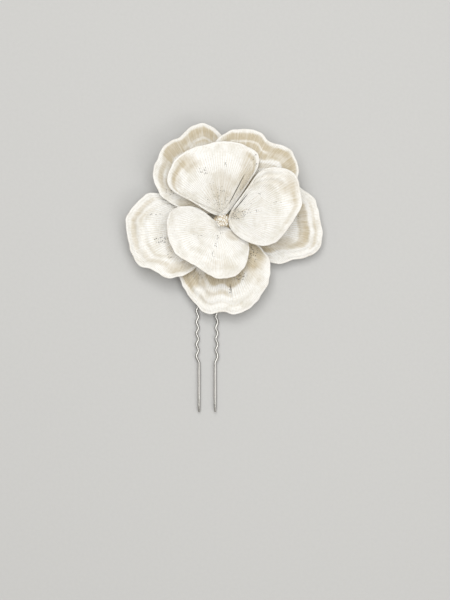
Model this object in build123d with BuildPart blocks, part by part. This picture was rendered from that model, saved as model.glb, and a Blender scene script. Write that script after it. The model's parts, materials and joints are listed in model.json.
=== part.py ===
"""Bridal flower hairpin: eight embroidered wired petals sewn to a felt back on a crimped U pin.

The hairpin lies on its back. The origin is the middle of the felt backing's flat rear face,
+Z points out of the flower's face, +X is to the right seen from the front and the two
prongs of the pin point along -Y. All sizes are in millimetres.
"""

import os
from dataclasses import dataclass
from math import atan2, cos, hypot, radians, sin

from build123d import *

os.makedirs("parts", exist_ok=True)

# Felt sandwich that carries everything
BACK_RADIUS = 17.0
BACKING_THICK = 1.0
CHANNEL_THICK = 1.8
FOUNDATION_THICK = 1.2
CHANNEL_TOP = BACKING_THICK + CHANNEL_THICK
FOUNDATION_TOP = CHANNEL_TOP + FOUNDATION_THICK
FELT_ROUNDING = 0.25

# Crimped U pin, lying in the channel felt
WIRE_RADIUS = 0.6
PIN_CENTRE_X = -7.15
PIN_Z = BACKING_THICK + CHANNEL_THICK / 2
BEND_RADIUS = 4.45
BEND_CENTRE_Y = -7.5
BEND_END_Y = -10.4
LEG_PIVOT_Y = -11.2
CRIMP_PITCH = 5.15
CRIMP_COUNT = 8
CRIMP_OFFSET = 0.7
CRIMP_LEAD_IN = 2.3
CRIMP_ARC = 2.0
FIRST_CRIMP_Y = -25.15
STRAIGHT_OFFSET = 3.7
STRAIGHT_TOP_Y = -64.3
TAPER_TOP_Y = -84.9
TIP_END_Y = -87.2
TIP_RADIUS = 0.4
SLOT_HALF_WIDTH = 1.15

# Thread that binds the pin's bend
BINDING_RADIUS = 0.13
BINDING_TURNS = 5
BINDING_STEP = 0.5

# Whip stitches round the rim of the felt
RIM_STITCHES = 48
RIM_STITCH_RADIUS = 0.18
LEG_EXIT_SPARE = 2.5  # no stitch is nearer than this to a prong

# Raised pad and stem in the middle of the flower
PAD_RADIUS = 4.5
PAD_TOP = 10.8
STEM_RADIUS = 0.6
KNOTS_BOTTOM = 16.9
KNOTS_HEIGHT = 1.6
KNOTS_RADIUS = 2.8
KNOTS_ROUNDING = 0.7

# Wire eye of each petal, and the thread loop that it swings on
OUTER_EYE_Z = 5.1
INNER_EYE_Z = 11.9
OUTER_EYE_REACH = 7.0
INNER_EYE_REACH = 3.6
EYE_OUTER = 0.85
EYE_BORE = 0.42
EYE_WIDTH = 1.4
TACK_RADIUS = 0.34
TACK_POST_OFFSET = 1.2
STALK_RADIUS = 0.4
STALK_REACH = 6.0

# Petal cloth
PANEL_THICK = 0.8
EDGE_THICK = 1.1
EDGE_WIDTH = 1.1
GRID_STEPS = 16
GRID_MARGIN = 2.5
TOOL_HEIGHT = 60.0
BEHIND_EYE = -0.2  # the cloth runs level further behind the eye than this share of its reach
BEYOND_RIM = 1.3  # and its waves stop growing past this share


@dataclass
class Petal:
    """One petal: where it is sewn on, how its cloth curves, and its outline seen from the front."""

    name: str
    azimuth: float  # direction that it points in, anticlockwise from +X
    eye_reach: float  # from the flower's axis to its wire eye
    eye_z: float
    root_z: float  # height of the cloth over the eye
    reach: float  # length from the eye to the rim
    half_width: float
    mid_rise: float  # height above the root half way out
    rim_rise: float  # height above the root at the rim
    side_rise: float  # cup, at half_width from the centre line
    side_tilt: float  # sideways slope, at half_width from the centre line
    wave: float  # height of the waves in the rim
    wave_count: int
    wave_phase: float
    outline: list


OUTER = (OUTER_EYE_REACH, OUTER_EYE_Z)
INNER = (INNER_EYE_REACH, INNER_EYE_Z)

PETALS = [
    Petal("outer_right", -4, *OUTER, 6.4, 39, 18, 0.9, 0.2, -0.3, 1.3, 0.7, 7, 0.4,
          [(6, 2.5), (13, 8), (24, 14.5), (31, 17.5), (37, 15), (41, 12), (44, 6), (45, 0),
           (46, -6.5), (44.5, -12), (41, -15.2), (35, -17.2), (29.5, -18.3), (26, -19.5),
           (21.5, -18.5), (13, -12), (6.2, -3)]),
    Petal("outer_bottom", -87, *OUTER, 7.6, 35, 20, 1.9, 1.2, -0.3, 1.5, 0.7, 7, 1.0,
          [(-3, -6), (-10, -10.5), (-17, -18), (-19.8, -25.5), (-17.5, -31), (-14, -36),
           (-10.5, -40), (-5.5, -42.3), (-0.7, -41.4), (6, -42.3), (11.5, -40.3),
           (16.5, -35.5), (20.5, -29), (22, -23), (21, -16), (14, -9), (4, -5.8)]),
    Petal("outer_left", 190, *OUTER, 8.8, 37, 19, 3.0, 2.2, -0.3, 1.5, 0.7, 7, 2.0,
          [(-6.2, 2.5), (-15, 7), (-25, 12), (-32.5, 13.5), (-38.5, 9.5), (-43, 4),
           (-44.3, -1.5), (-43, -9), (-41.3, -15.5), (-37.5, -20.3), (-32, -22.2),
           (-27, -25.2), (-22.5, -26), (-16.5, -24.2), (-11.5, -20.5), (-8, -12), (-5.8, -4)]),
    Petal("outer_top_left", 122, *OUTER, 10.0, 38, 19, 4.1, 3.2, -0.3, 1.5, 0.7, 7, 0.0,
          [(-5.8, 3.5), (-11, 3.5), (-20, 6), (-27, 10.5), (-31, 17), (-31.5, 23), (-29, 30),
           (-24.5, 36), (-19, 38.7), (-14.5, 43.2), (-9, 44.8), (-4, 42.7), (0.5, 38.5),
           (4, 31), (4.5, 20), (0, 8)]),
    Petal("outer_top_right", 56, *OUTER, 11.9, 36, 19, 5.2, 4.0, -0.3, 1.8, 0.7, 7, 1.0,
          [(1.5, 6.5), (-3, 13), (-5.5, 22), (-5, 31), (-2.5, 36.5), (2, 40), (8, 41.4),
           (13, 41.5), (17, 40), (21.5, 36), (27, 34.2), (31.5, 31.5), (34, 26),
           (34.3, 19.5), (31.5, 13.5), (22, 8), (9, 4)]),
    Petal("inner_bottom", 238, *INNER, 13.7, 23, 16, 5.6, 7.6, 1.0, -1.3, 0.5, 6, 0.0,
          [(3, -2.8), (-3.4, 0.8), (-9.8, 5.4), (-17.8, 6.8), (-23.5, 3.9), (-25, -2),
           (-24, -9), (-20.5, -15.5), (-14, -19.5), (-8.5, -23), (-3.5, -25.8), (1.5, -26.1),
           (6.5, -24.5), (10.3, -20.3), (11.9, -15), (11.6, -9.2), (7.6, -5.2)]),
    Petal("inner_top", 102, *INNER, 13.4, 31, 18, 7.4, 9.4, 1.4, 0.4, 0.5, 6, 1.0,
          [(0.9, 2.4), (-2.6, 2.3), (-5.5, 3.4), (-14.5, 8.8), (-21, 12), (-24.5, 16),
           (-23.8, 22), (-20.5, 27.5), (-14.5, 31.8), (-8, 33.7), (-1, 35.1), (6, 34.7),
           (12, 32.5), (15.8, 29.5), (16, 24), (12.5, 17.5), (7, 9.5), (3.2, 4.2)]),
    Petal("inner_right", 18, *INNER, 15.6, 31, 17, 6.6, 8.4, 0.8, 2.2, 0.5, 6, 2.0,
          [(2.3, -0.6), (3.4, 4.4), (8, 10.5), (12, 16), (15.5, 20.7), (20, 23), (26, 23.1),
           (31, 21.5), (34, 17), (35, 11.5), (35.5, 7.5), (33.5, 2.5), (29.5, -3.6),
           (25, -9), (20, -11.4), (14, -10.6), (8, -7.8), (3.4, -3.6)]),
]


def save(block, label):
    """Names a finished piece and writes it to its STEP file."""
    block.part.label = label
    export_step(block.part, f"parts/{label}.step")


def eye_point(petal):
    """Middle of the petal's wire eye, on its swing axis."""
    turn = radians(petal.azimuth)
    return Vector(petal.eye_reach * cos(turn), petal.eye_reach * sin(turn), petal.eye_z)


def cloth_height(petal, x, y):
    """Height of the middle of the petal's cloth over the point x, y."""
    turn = radians(petal.azimuth)
    eye = eye_point(petal)
    along = (x - eye.X) * cos(turn) + (y - eye.Y) * sin(turn)
    across = (y - eye.Y) * cos(turn) - (x - eye.X) * sin(turn)
    out = max(along / petal.reach, BEHIND_EYE)
    side = across / petal.half_width
    far = min(hypot(along, across) / petal.reach, BEYOND_RIM)
    if out > 0:
        arch = petal.mid_rise * 4 * out * (1 - out) + petal.rim_rise * out * (2 * out - 1)
    else:
        arch = (petal.mid_rise * 4 - petal.rim_rise) * out
    cup = petal.side_rise * side**2 + petal.side_tilt * side
    wave = petal.wave * far**3 * cos(petal.wave_count * atan2(across, along) + petal.wave_phase)
    return petal.root_z + arch + cup + wave


def cloth_skin(petal, drop):
    """Curved rectangle that covers the petal, lowered by drop."""
    xs = [x for x, _ in petal.outline]
    ys = [y for _, y in petal.outline]
    low_x, low_y = min(xs) - GRID_MARGIN, min(ys) - GRID_MARGIN
    step_x = (max(xs) + GRID_MARGIN - low_x) / GRID_STEPS
    step_y = (max(ys) + GRID_MARGIN - low_y) / GRID_STEPS
    rows = []
    for i in range(GRID_STEPS + 1):
        x = low_x + i * step_x
        line = [low_y + j * step_y for j in range(GRID_STEPS + 1)]
        rows.append([Vector(x, y, cloth_height(petal, x, y) - drop) for y in line])
    return Face.make_surface_from_array_of_points(rows)


def inset_outline(outline, distance):
    """The outline's points, each moved into the petal by distance."""
    moved = []
    for i, (x, y) in enumerate(outline):
        before = outline[i - 1]
        after = outline[(i + 1) % len(outline)]
        run_x, run_y = after[0] - before[0], after[1] - before[1]
        run = hypot(run_x, run_y)
        moved.append((x - distance * run_y / run, y + distance * run_x / run))
    return moved


def turns_left(outline):
    """True where the outline runs anticlockwise."""
    area = 0
    for i, (x, y) in enumerate(outline):
        area += outline[i - 1][0] * y - x * outline[i - 1][1]
    return area > 0


def petal_panel(petal):
    """Embroidered cloth inside the petal's stitched edge."""
    outline = petal.outline if turns_left(petal.outline) else petal.outline[::-1]
    with BuildPart() as panel:
        extrude(cloth_skin(petal, PANEL_THICK / 2), amount=PANEL_THICK, dir=(0, 0, 1))
        with BuildSketch():
            with BuildLine():
                Spline(inset_outline(outline, EDGE_WIDTH), periodic=True)
            make_face()
        extrude(amount=TOOL_HEIGHT, mode=Mode.INTERSECT)
    return panel


def petal_edge(petal):
    """Satin-stitched border with the shaping wire inside it."""
    outline = petal.outline if turns_left(petal.outline) else petal.outline[::-1]
    with BuildPart() as edge:
        extrude(cloth_skin(petal, EDGE_THICK / 2), amount=EDGE_THICK, dir=(0, 0, 1))
        with BuildSketch():
            with BuildLine():
                Spline(outline, periodic=True)
            make_face()
            with BuildLine():
                Spline(inset_outline(outline, EDGE_WIDTH), periodic=True)
            make_face(mode=Mode.SUBTRACT)
        extrude(amount=TOOL_HEIGHT, mode=Mode.INTERSECT)
    return edge


def swing_plane(petal):
    """Upright plane through the petal's eye, with x outwards, y up and its normal on the swing axis."""
    turn = radians(petal.azimuth)
    outward = (cos(turn), sin(turn), 0)
    return Plane(origin=eye_point(petal), x_dir=outward, z_dir=(sin(turn), -cos(turn), 0))


def petal_stalk(petal):
    """Twisted wire ends of the petal, bent into an eye at the bottom."""
    plane = swing_plane(petal)
    turn = radians(petal.azimuth)
    eye = eye_point(petal)
    end_x, end_y = eye.X + STALK_REACH * cos(turn), eye.Y + STALK_REACH * sin(turn)
    run = Vector(end_x, end_y, cloth_height(petal, end_x, end_y)) - eye
    with BuildPart() as stalk:
        with BuildSketch(plane):
            Circle(EYE_OUTER)
        extrude(amount=EYE_WIDTH / 2, both=True)
        with BuildSketch(Plane(origin=eye, z_dir=run)):
            Circle(STALK_RADIUS)
        extrude(amount=run.length)
        with BuildSketch(plane):
            Circle(EYE_BORE)
        extrude(amount=EYE_WIDTH, both=True, mode=Mode.SUBTRACT)
    return stalk


def tack_loops(petals, floor_z):
    """Thread loops that hold the eyes: a bar through each eye, on two posts."""
    with BuildPart() as loops:
        for petal in petals:
            eye = eye_point(petal)
            turn = radians(petal.azimuth)
            with BuildSketch(swing_plane(petal)):
                Circle(TACK_RADIUS)
            extrude(amount=TACK_POST_OFFSET, both=True)
            for offset in (-TACK_POST_OFFSET, TACK_POST_OFFSET):
                foot_x = eye.X - offset * sin(turn)
                foot_y = eye.Y + offset * cos(turn)
                with BuildSketch(Plane.XY.offset(floor_z)):
                    with Locations((foot_x, foot_y)):
                        Circle(TACK_RADIUS)
                extrude(amount=petal.eye_z - floor_z)
                with Locations((foot_x, foot_y, petal.eye_z)):
                    Sphere(TACK_RADIUS)
    return loops


def leg_route():
    """Corners of one prong, as distances from the pin's centre line and heights along Y."""
    points = [(BEND_RADIUS, LEG_PIVOT_Y), (BEND_RADIUS, FIRST_CRIMP_Y + CRIMP_LEAD_IN)]
    for i in range(CRIMP_COUNT):
        crest_y = FIRST_CRIMP_Y - i * CRIMP_PITCH
        points.append((BEND_RADIUS + CRIMP_OFFSET, crest_y))
        if i < CRIMP_COUNT - 1:
            points.append((BEND_RADIUS - CRIMP_OFFSET, crest_y - CRIMP_PITCH / 2))
    points.append((STRAIGHT_OFFSET, STRAIGHT_TOP_Y))
    points.append((STRAIGHT_OFFSET, TAPER_TOP_Y))
    return points


def felt_disc(bottom, thickness):
    """Round felt layer with a softened front rim."""
    with BuildPart() as disc:
        with BuildSketch(Plane.XY.offset(bottom)):
            Circle(BACK_RADIUS)
        extrude(amount=thickness)
        chamfer(disc.edges().group_by(Axis.Z)[-1], FELT_ROUNDING)
    return disc


# Felt layers
save(felt_disc(0, BACKING_THICK), "backing_felt")
save(felt_disc(CHANNEL_TOP, FOUNDATION_THICK), "foundation_disc")

with BuildPart() as channel_felt:
    with BuildSketch(Plane.XY.offset(BACKING_THICK)):
        Circle(BACK_RADIUS)
        with Locations((PIN_CENTRE_X, BEND_CENTRE_Y)):
            Circle(BEND_RADIUS + SLOT_HALF_WIDTH, mode=Mode.SUBTRACT)
            Rectangle(2 * (BEND_RADIUS + SLOT_HALF_WIDTH), BACK_RADIUS,
                      align=(Align.CENTER, Align.MAX), mode=Mode.SUBTRACT)
    extrude(amount=CHANNEL_THICK)
save(channel_felt, "channel_felt")

with BuildPart() as felt_tongue:
    with BuildSketch(Plane.XY.offset(BACKING_THICK)):
        with Locations((PIN_CENTRE_X, BEND_CENTRE_Y)):
            Circle(BEND_RADIUS - SLOT_HALF_WIDTH)
            Rectangle(2 * (BEND_RADIUS - SLOT_HALF_WIDTH), BACK_RADIUS,
                      align=(Align.CENTER, Align.MAX))
        Circle(BACK_RADIUS, mode=Mode.INTERSECT)
    extrude(amount=CHANNEL_THICK)
save(felt_tongue, "felt_tongue")

# Whip stitches round the rim, left out where the prongs leave the felt
exits = []
for side in (-1, 1):
    exit_x = PIN_CENTRE_X + side * BEND_RADIUS
    exit_y = -((BACK_RADIUS**2 - exit_x**2) ** 0.5)
    exits.append(Vector(exit_x, exit_y))

with BuildPart() as rim_stitches:
    with BuildSketch():
        for i in range(RIM_STITCHES):
            angle = radians(360 / RIM_STITCHES * i)
            reach = BACK_RADIUS + RIM_STITCH_RADIUS
            spot = Vector(reach * cos(angle), reach * sin(angle))
            if all((spot - leg_exit).length > LEG_EXIT_SPARE for leg_exit in exits):
                with Locations((spot.X, spot.Y)):
                    Circle(RIM_STITCH_RADIUS)
    extrude(amount=FOUNDATION_TOP)
save(rim_stitches, "rim_stitches")

# Pin
with BuildPart() as pin_bend:
    with BuildLine():
        left_x, right_x = PIN_CENTRE_X - BEND_RADIUS, PIN_CENTRE_X + BEND_RADIUS
        Line((left_x, BEND_END_Y, PIN_Z), (left_x, BEND_CENTRE_Y, PIN_Z))
        ThreePointArc((left_x, BEND_CENTRE_Y, PIN_Z),
                      (PIN_CENTRE_X, BEND_CENTRE_Y + BEND_RADIUS, PIN_Z),
                      (right_x, BEND_CENTRE_Y, PIN_Z))
        Line((right_x, BEND_CENTRE_Y, PIN_Z), (right_x, BEND_END_Y, PIN_Z))
    with BuildSketch(Plane(origin=(left_x, BEND_END_Y, PIN_Z), z_dir=(0, 1, 0))):
        Circle(WIRE_RADIUS)
    sweep()
save(pin_bend, "pin_bend")

with BuildPart() as pin_binding:
    for x in (PIN_CENTRE_X - BEND_RADIUS, PIN_CENTRE_X + BEND_RADIUS):
        for turn_number in range(BINDING_TURNS):
            spot_y = BEND_CENTRE_Y - BINDING_STEP * (turn_number + 0.5)
            ring = Plane(origin=(x, spot_y, PIN_Z), z_dir=(0, 1, 0))
            with Locations(ring):
                Torus(WIRE_RADIUS + BINDING_RADIUS, BINDING_RADIUS)
save(pin_binding, "pin_binding")

# Prongs: domed top, crimped stretch, straight stretch and tapered tip
route = [(PIN_CENTRE_X + out, y, PIN_Z) for out, y in leg_route()]
tip_x = PIN_CENTRE_X + STRAIGHT_OFFSET
tip_centre = (tip_x, TIP_END_Y + TIP_RADIUS, PIN_Z)
with BuildPart() as pin_leg_right:
    with BuildLine():
        FilletPolyline(*route, radius=CRIMP_ARC)
    with BuildSketch(Plane(origin=route[0], z_dir=(0, -1, 0))):
        Circle(WIRE_RADIUS)
    sweep()
    with Locations(route[0]):
        Sphere(WIRE_RADIUS)
    with BuildSketch(Plane(origin=(tip_x, TAPER_TOP_Y, PIN_Z), z_dir=(0, -1, 0))):
        Circle(WIRE_RADIUS)
    with BuildSketch(Plane(origin=tip_centre, z_dir=(0, -1, 0))):
        Circle(TIP_RADIUS)
    loft()
    with Locations(tip_centre):
        Sphere(TIP_RADIUS)
save(pin_leg_right, "pin_leg_right")

with BuildPart() as pin_leg_left:
    mirror(pin_leg_right.part, about=Plane.YZ.offset(PIN_CENTRE_X))
save(pin_leg_left, "pin_leg_left")

# Middle of the flower
with BuildPart() as centre_pad:
    with BuildSketch(Plane.XY.offset(FOUNDATION_TOP)):
        Circle(PAD_RADIUS)
    extrude(amount=PAD_TOP - FOUNDATION_TOP)
    chamfer(centre_pad.edges().group_by(Axis.Z)[-1], FELT_ROUNDING)
save(centre_pad, "centre_pad")

with BuildPart() as centre_stem:
    with BuildSketch(Plane.XY.offset(PAD_TOP)):
        Circle(STEM_RADIUS)
    extrude(amount=KNOTS_BOTTOM - PAD_TOP)
save(centre_stem, "centre_stem")

with BuildPart() as centre_knots:
    with BuildSketch(Plane.XY.offset(KNOTS_BOTTOM)):
        Circle(KNOTS_RADIUS)
    extrude(amount=KNOTS_HEIGHT)
    fillet(centre_knots.edges().group_by(Axis.Z)[-1], KNOTS_ROUNDING)
save(centre_knots, "centre_knots")

save(tack_loops([p for p in PETALS if p.eye_z == OUTER_EYE_Z], FOUNDATION_TOP), "outer_tack_loops")
save(tack_loops([p for p in PETALS if p.eye_z == INNER_EYE_Z], PAD_TOP), "inner_tack_loops")

# Petals
for petal in PETALS:
    save(petal_panel(petal), f"{petal.name}_panel")
    save(petal_edge(petal), f"{petal.name}_edge")
    save(petal_stalk(petal), f"{petal.name}_stalk")
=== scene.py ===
"""Flower hairpin: eight embroidered, wired petals on a felt back, sewn to a crimped steel pin."""

import json
import random
from dataclasses import dataclass
from math import atan2, cos, hypot, pi, radians, sin

import bpy
import numpy as np
from bpy.props import FloatProperty, FloatVectorProperty, PointerProperty
from mathutils import Matrix, Vector

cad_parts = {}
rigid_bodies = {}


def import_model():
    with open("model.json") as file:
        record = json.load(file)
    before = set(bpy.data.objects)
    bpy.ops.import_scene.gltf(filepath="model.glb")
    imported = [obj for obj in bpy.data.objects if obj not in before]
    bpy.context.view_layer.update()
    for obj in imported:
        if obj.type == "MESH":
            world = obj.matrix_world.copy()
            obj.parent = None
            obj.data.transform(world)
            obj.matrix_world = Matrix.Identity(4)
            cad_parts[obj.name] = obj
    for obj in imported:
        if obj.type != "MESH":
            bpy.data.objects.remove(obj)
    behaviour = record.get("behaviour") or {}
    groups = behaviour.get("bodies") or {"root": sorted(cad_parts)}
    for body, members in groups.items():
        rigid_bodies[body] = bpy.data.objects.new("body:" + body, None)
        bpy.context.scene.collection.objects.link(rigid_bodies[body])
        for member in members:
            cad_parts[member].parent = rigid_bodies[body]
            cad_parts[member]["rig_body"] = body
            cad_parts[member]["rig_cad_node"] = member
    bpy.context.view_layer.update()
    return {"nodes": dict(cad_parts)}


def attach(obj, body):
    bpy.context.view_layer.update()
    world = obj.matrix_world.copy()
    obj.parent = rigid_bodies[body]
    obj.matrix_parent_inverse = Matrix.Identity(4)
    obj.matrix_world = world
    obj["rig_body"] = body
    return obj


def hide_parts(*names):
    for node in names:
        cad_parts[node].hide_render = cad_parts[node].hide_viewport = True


bl_info = {
    "name": "Flower Hairpin",
    "version": (1, 0, 0),
    "blender": (4, 5, 0),
    "location": "3D View > Sidebar > Hairpin",
    "description": "Embroidered flower on a crimped hairpin",
    "category": "Add Mesh",
}

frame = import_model()

MM = 0.001  # one millimetre, in metres

# Felt back, whip stitches and pin, in millimetres
BACK_RADIUS = 17.0
FELT_TOP = 4.0
RIM_STITCHES = 48
PIN_CENTRE_X = -7.15
BEND_RADIUS = 4.45
BEND_CENTRE_Y = -7.5
PIN_Z = 1.9
WIRE_RADIUS = 0.6

# Middle of the flower, in millimetres
PAD_RADIUS = 4.5
PAD_TOP = 10.8
KNOTS_BOTTOM = 16.9
# Rings of knots: how many, how far out and how high over KNOTS_BOTTOM
KNOT_RINGS = ((1, 0.0, 0.8), (6, 0.9, 0.72), (11, 1.65, 0.5), (15, 2.4, 0.15))

# Petals: wire eyes and how the cloth ends at the root, in millimetres
PETAL_WIRE = 0.19
EYE_REACH = 0.72
TACK_POST_OFFSET = 1.2
STALK_REACH = 6.0
BEHIND_EYE = -0.2  # shares of a petal's reach
BEYOND_RIM = 1.3
OUTER_THREADS_START = 1.5  # the embroidery fans out from this far in front of the eye
INNER_THREADS_START = 0.4

# Embroidery, in millimetres
STITCH_LENGTH = 4.6
RIPPLE_PITCH = 4.3
SLIT_WIDTH = 0.34
SLIT_DEPTH = 0.3
EDGE_V = 0.3  # length along the threads of the cloth's edge
RIM_AROUND = 3.6  # length along the threads of one turn round the rim
SLOPE_PROBE = 0.6  # how far out and in the cloth's slope is measured at the rim
FAR_OFF = 60.0  # each rim starts at the point that is nearest to this far behind the root

# Meshes
POINTS_PER_RUN = 60
POINTS_PER_THREAD = 4
TOP_ROWS = 56
ROOT_SHARE = 0.03
ROW_SPREAD = 1.15
POINTS_PER_STITCH = 4
RIM_SIDES = 12
SECTION_CORNERS = 8
WELD = 0.000002  # metres

# Colours of thread, felt and air that stay the same, some of them painted shade and painted sheen
# Painted sheen: white of the patches where the silk is painted duller
SHEEN_SHADE_WHITE = (0.68, 0.665, 0.61)
# Painted shade in grooves between threads and rim stitches, at stitch ends and in needle holes
GROOVE_PAINTED_SHADE = (0.6, 0.53, 0.41)
RIM_GROOVE_PAINTED_SHADE = (0.6, 0.52, 0.4)
STITCH_END_PAINTED_SHADE = (0.45, 0.38, 0.28)
HOLE_PAINTED_SHADE = (0.035, 0.028, 0.02)
WRAPPED_WIRE = (0.72, 0.68, 0.58)
# Pad felt in a darker tan, partly painted shade for the crevices round the knots
PAD_FELT_CREVICE_SHADE = (0.68, 0.57, 0.4)
# Darker tan bed under the knots: painted shade in the gaps between them
KNOT_BED_PAINTED_SHADE = (0.56, 0.47, 0.34)
KNOT_THREAD = (0.9, 0.885, 0.84)
AIR_COLOUR = (1.0, 0.94, 0.85)
PLY_SCALE = 1500.0

# Camera, in millimetres
LENS = 85.0
SENSOR_WIDTH = 36.0


@dataclass
class Petal:
    """One petal: where it is sewn on, how its cloth curves, and its outline seen from the front."""

    name: str
    azimuth: float  # direction that it points in, anticlockwise from +X
    eye_reach: float  # from the flower's axis to its wire eye
    eye_z: float
    root_z: float  # height of the cloth over the eye
    reach: float  # length from the eye to the rim
    half_width: float
    mid_rise: float  # height above the root half way out
    rim_rise: float  # height above the root at the rim
    side_rise: float  # cup, at half_width from the centre line
    side_tilt: float  # sideways slope, at half_width from the centre line
    wave: float  # height of the waves in the rim
    wave_count: int
    wave_phase: float
    outline: list

    @property
    def turn(self):
        return radians(self.azimuth)

    @property
    def is_outer(self):
        return self.name.startswith("outer")


# Reach and height of the wire eyes
OUTER = (7.0, 5.1)
INNER = (3.6, 11.9)

PETALS = [
    Petal("outer_right", -4, *OUTER, 6.4, 39, 18, 0.9, 0.2, -0.3, 1.3, 0.7, 7, 0.4,
          [(6, 2.5), (13, 8), (24, 14.5), (31, 17.5), (37, 15), (41, 12), (44, 6), (45, 0),
           (46, -6.5), (44.5, -12), (41, -15.2), (35, -17.2), (29.5, -18.3), (26, -19.5),
           (21.5, -18.5), (13, -12), (6.2, -3)]),
    Petal("outer_bottom", -87, *OUTER, 7.6, 35, 20, 1.9, 1.2, -0.3, 1.5, 0.7, 7, 1.0,
          [(-3, -6), (-10, -10.5), (-17, -18), (-19.8, -25.5), (-17.5, -31), (-14, -36),
           (-10.5, -40), (-5.5, -42.3), (-0.7, -41.4), (6, -42.3), (11.5, -40.3),
           (16.5, -35.5), (20.5, -29), (22, -23), (21, -16), (14, -9), (4, -5.8)]),
    Petal("outer_left", 190, *OUTER, 8.8, 37, 19, 3.0, 2.2, -0.3, 1.5, 0.7, 7, 2.0,
          [(-6.2, 2.5), (-15, 7), (-25, 12), (-32.5, 13.5), (-38.5, 9.5), (-43, 4),
           (-44.3, -1.5), (-43, -9), (-41.3, -15.5), (-37.5, -20.3), (-32, -22.2),
           (-27, -25.2), (-22.5, -26), (-16.5, -24.2), (-11.5, -20.5), (-8, -12), (-5.8, -4)]),
    Petal("outer_top_left", 122, *OUTER, 10.0, 38, 19, 4.1, 3.2, -0.3, 1.5, 0.7, 7, 0.0,
          [(-5.8, 3.5), (-11, 3.5), (-20, 6), (-27, 10.5), (-31, 17), (-31.5, 23), (-29, 30),
           (-24.5, 36), (-19, 38.7), (-14.5, 43.2), (-9, 44.8), (-4, 42.7), (0.5, 38.5),
           (4, 31), (4.5, 20), (0, 8)]),
    Petal("outer_top_right", 56, *OUTER, 11.9, 36, 19, 5.2, 4.0, -0.3, 1.8, 0.7, 7, 1.0,
          [(1.5, 6.5), (-3, 13), (-5.5, 22), (-5, 31), (-2.5, 36.5), (2, 40), (8, 41.4),
           (13, 41.5), (17, 40), (21.5, 36), (27, 34.2), (31.5, 31.5), (34, 26),
           (34.3, 19.5), (31.5, 13.5), (22, 8), (9, 4)]),
    Petal("inner_bottom", 238, *INNER, 13.7, 23, 16, 5.6, 7.6, 1.0, -1.3, 0.5, 6, 0.0,
          [(3, -2.8), (-3.4, 0.8), (-9.8, 5.4), (-17.8, 6.8), (-23.5, 3.9), (-25, -2),
           (-24, -9), (-20.5, -15.5), (-14, -19.5), (-8.5, -23), (-3.5, -25.8), (1.5, -26.1),
           (6.5, -24.5), (10.3, -20.3), (11.9, -15), (11.6, -9.2), (7.6, -5.2)]),
    Petal("inner_top", 102, *INNER, 13.4, 31, 18, 7.4, 9.4, 1.4, 0.4, 0.5, 6, 1.0,
          [(0.9, 2.4), (-2.6, 2.3), (-5.5, 3.4), (-14.5, 8.8), (-21, 12), (-24.5, 16),
           (-23.8, 22), (-20.5, 27.5), (-14.5, 31.8), (-8, 33.7), (-1, 35.1), (6, 34.7),
           (12, 32.5), (15.8, 29.5), (16, 24), (12.5, 17.5), (7, 9.5), (3.2, 4.2)]),
    Petal("inner_right", 18, *INNER, 15.6, 31, 17, 6.6, 8.4, 0.8, 2.2, 0.5, 6, 2.0,
          [(2.3, -0.6), (3.4, 4.4), (8, 10.5), (12, 16), (15.5, 20.7), (20, 23), (26, 23.1),
           (31, 21.5), (34, 17), (35, 11.5), (35.5, 7.5), (33.5, 2.5), (29.5, -3.6),
           (25, -9), (20, -11.4), (14, -10.6), (8, -7.8), (3.4, -3.6)]),
]

# Arcs of ecru thread that follow a petal's rim, partly painted shade: the shading of the rim's
# ripples and the shadows that higher petals cast on lower ones. Each has its nearest and farthest
# distance from the rim, its first and last bearing from the petal's root, anticlockwise from +X,
# and its strength.
ECRU_AND_SHADE_BANDS = {
    "outer_right": [(2.2, 3.6, -22, 20, 0.5), (5.4, 10.5, -26, 28, 0.8), (6.5, 14, -75, -40, 0.45)],
    "outer_bottom": [
        (3.4, 4.8, 245, 288, 0.4), (7.6, 10, 240, 276, 0.5), (12.4, 20, 222, 304, 0.95),
        (1.5, 9, 212, 238, 0.8),
    ],
    "outer_left": [
        (2, 4.4, 152, 205, 0.42), (5.4, 6.6, 160, 190, 0.25), (3.6, 6, 200, 232, 0.42),
        (8, 9.6, 196, 232, 0.35), (1.5, 8, 232, 268, 0.6),
    ],
    "outer_top_left": [
        (1.4, 6.2, 84, 112, 0.95), (7.2, 11, 82, 120, 0.85), (1.4, 7.4, 108, 138, 1),
        (1.8, 4.4, 134, 158, 0.65), (5.6, 7, 134, 160, 0.5),
    ],
    "outer_top_right": [
        (1, 4.4, 54, 100, 1), (5, 8.6, 50, 102, 0.9), (1.3, 7.6, 24, 58, 1),
        (9.6, 12.8, 34, 80, 0.65),
    ],
    "inner_bottom": [(3, 4.2, 262, 290, 0.2)],
    "inner_top": [(2, 4, 128, 160, 0.5), (1.2, 3.4, 52, 66, 0.55)],
    "inner_right": [(1.6, 3.8, -14, 24, 0.4)],
}

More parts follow.
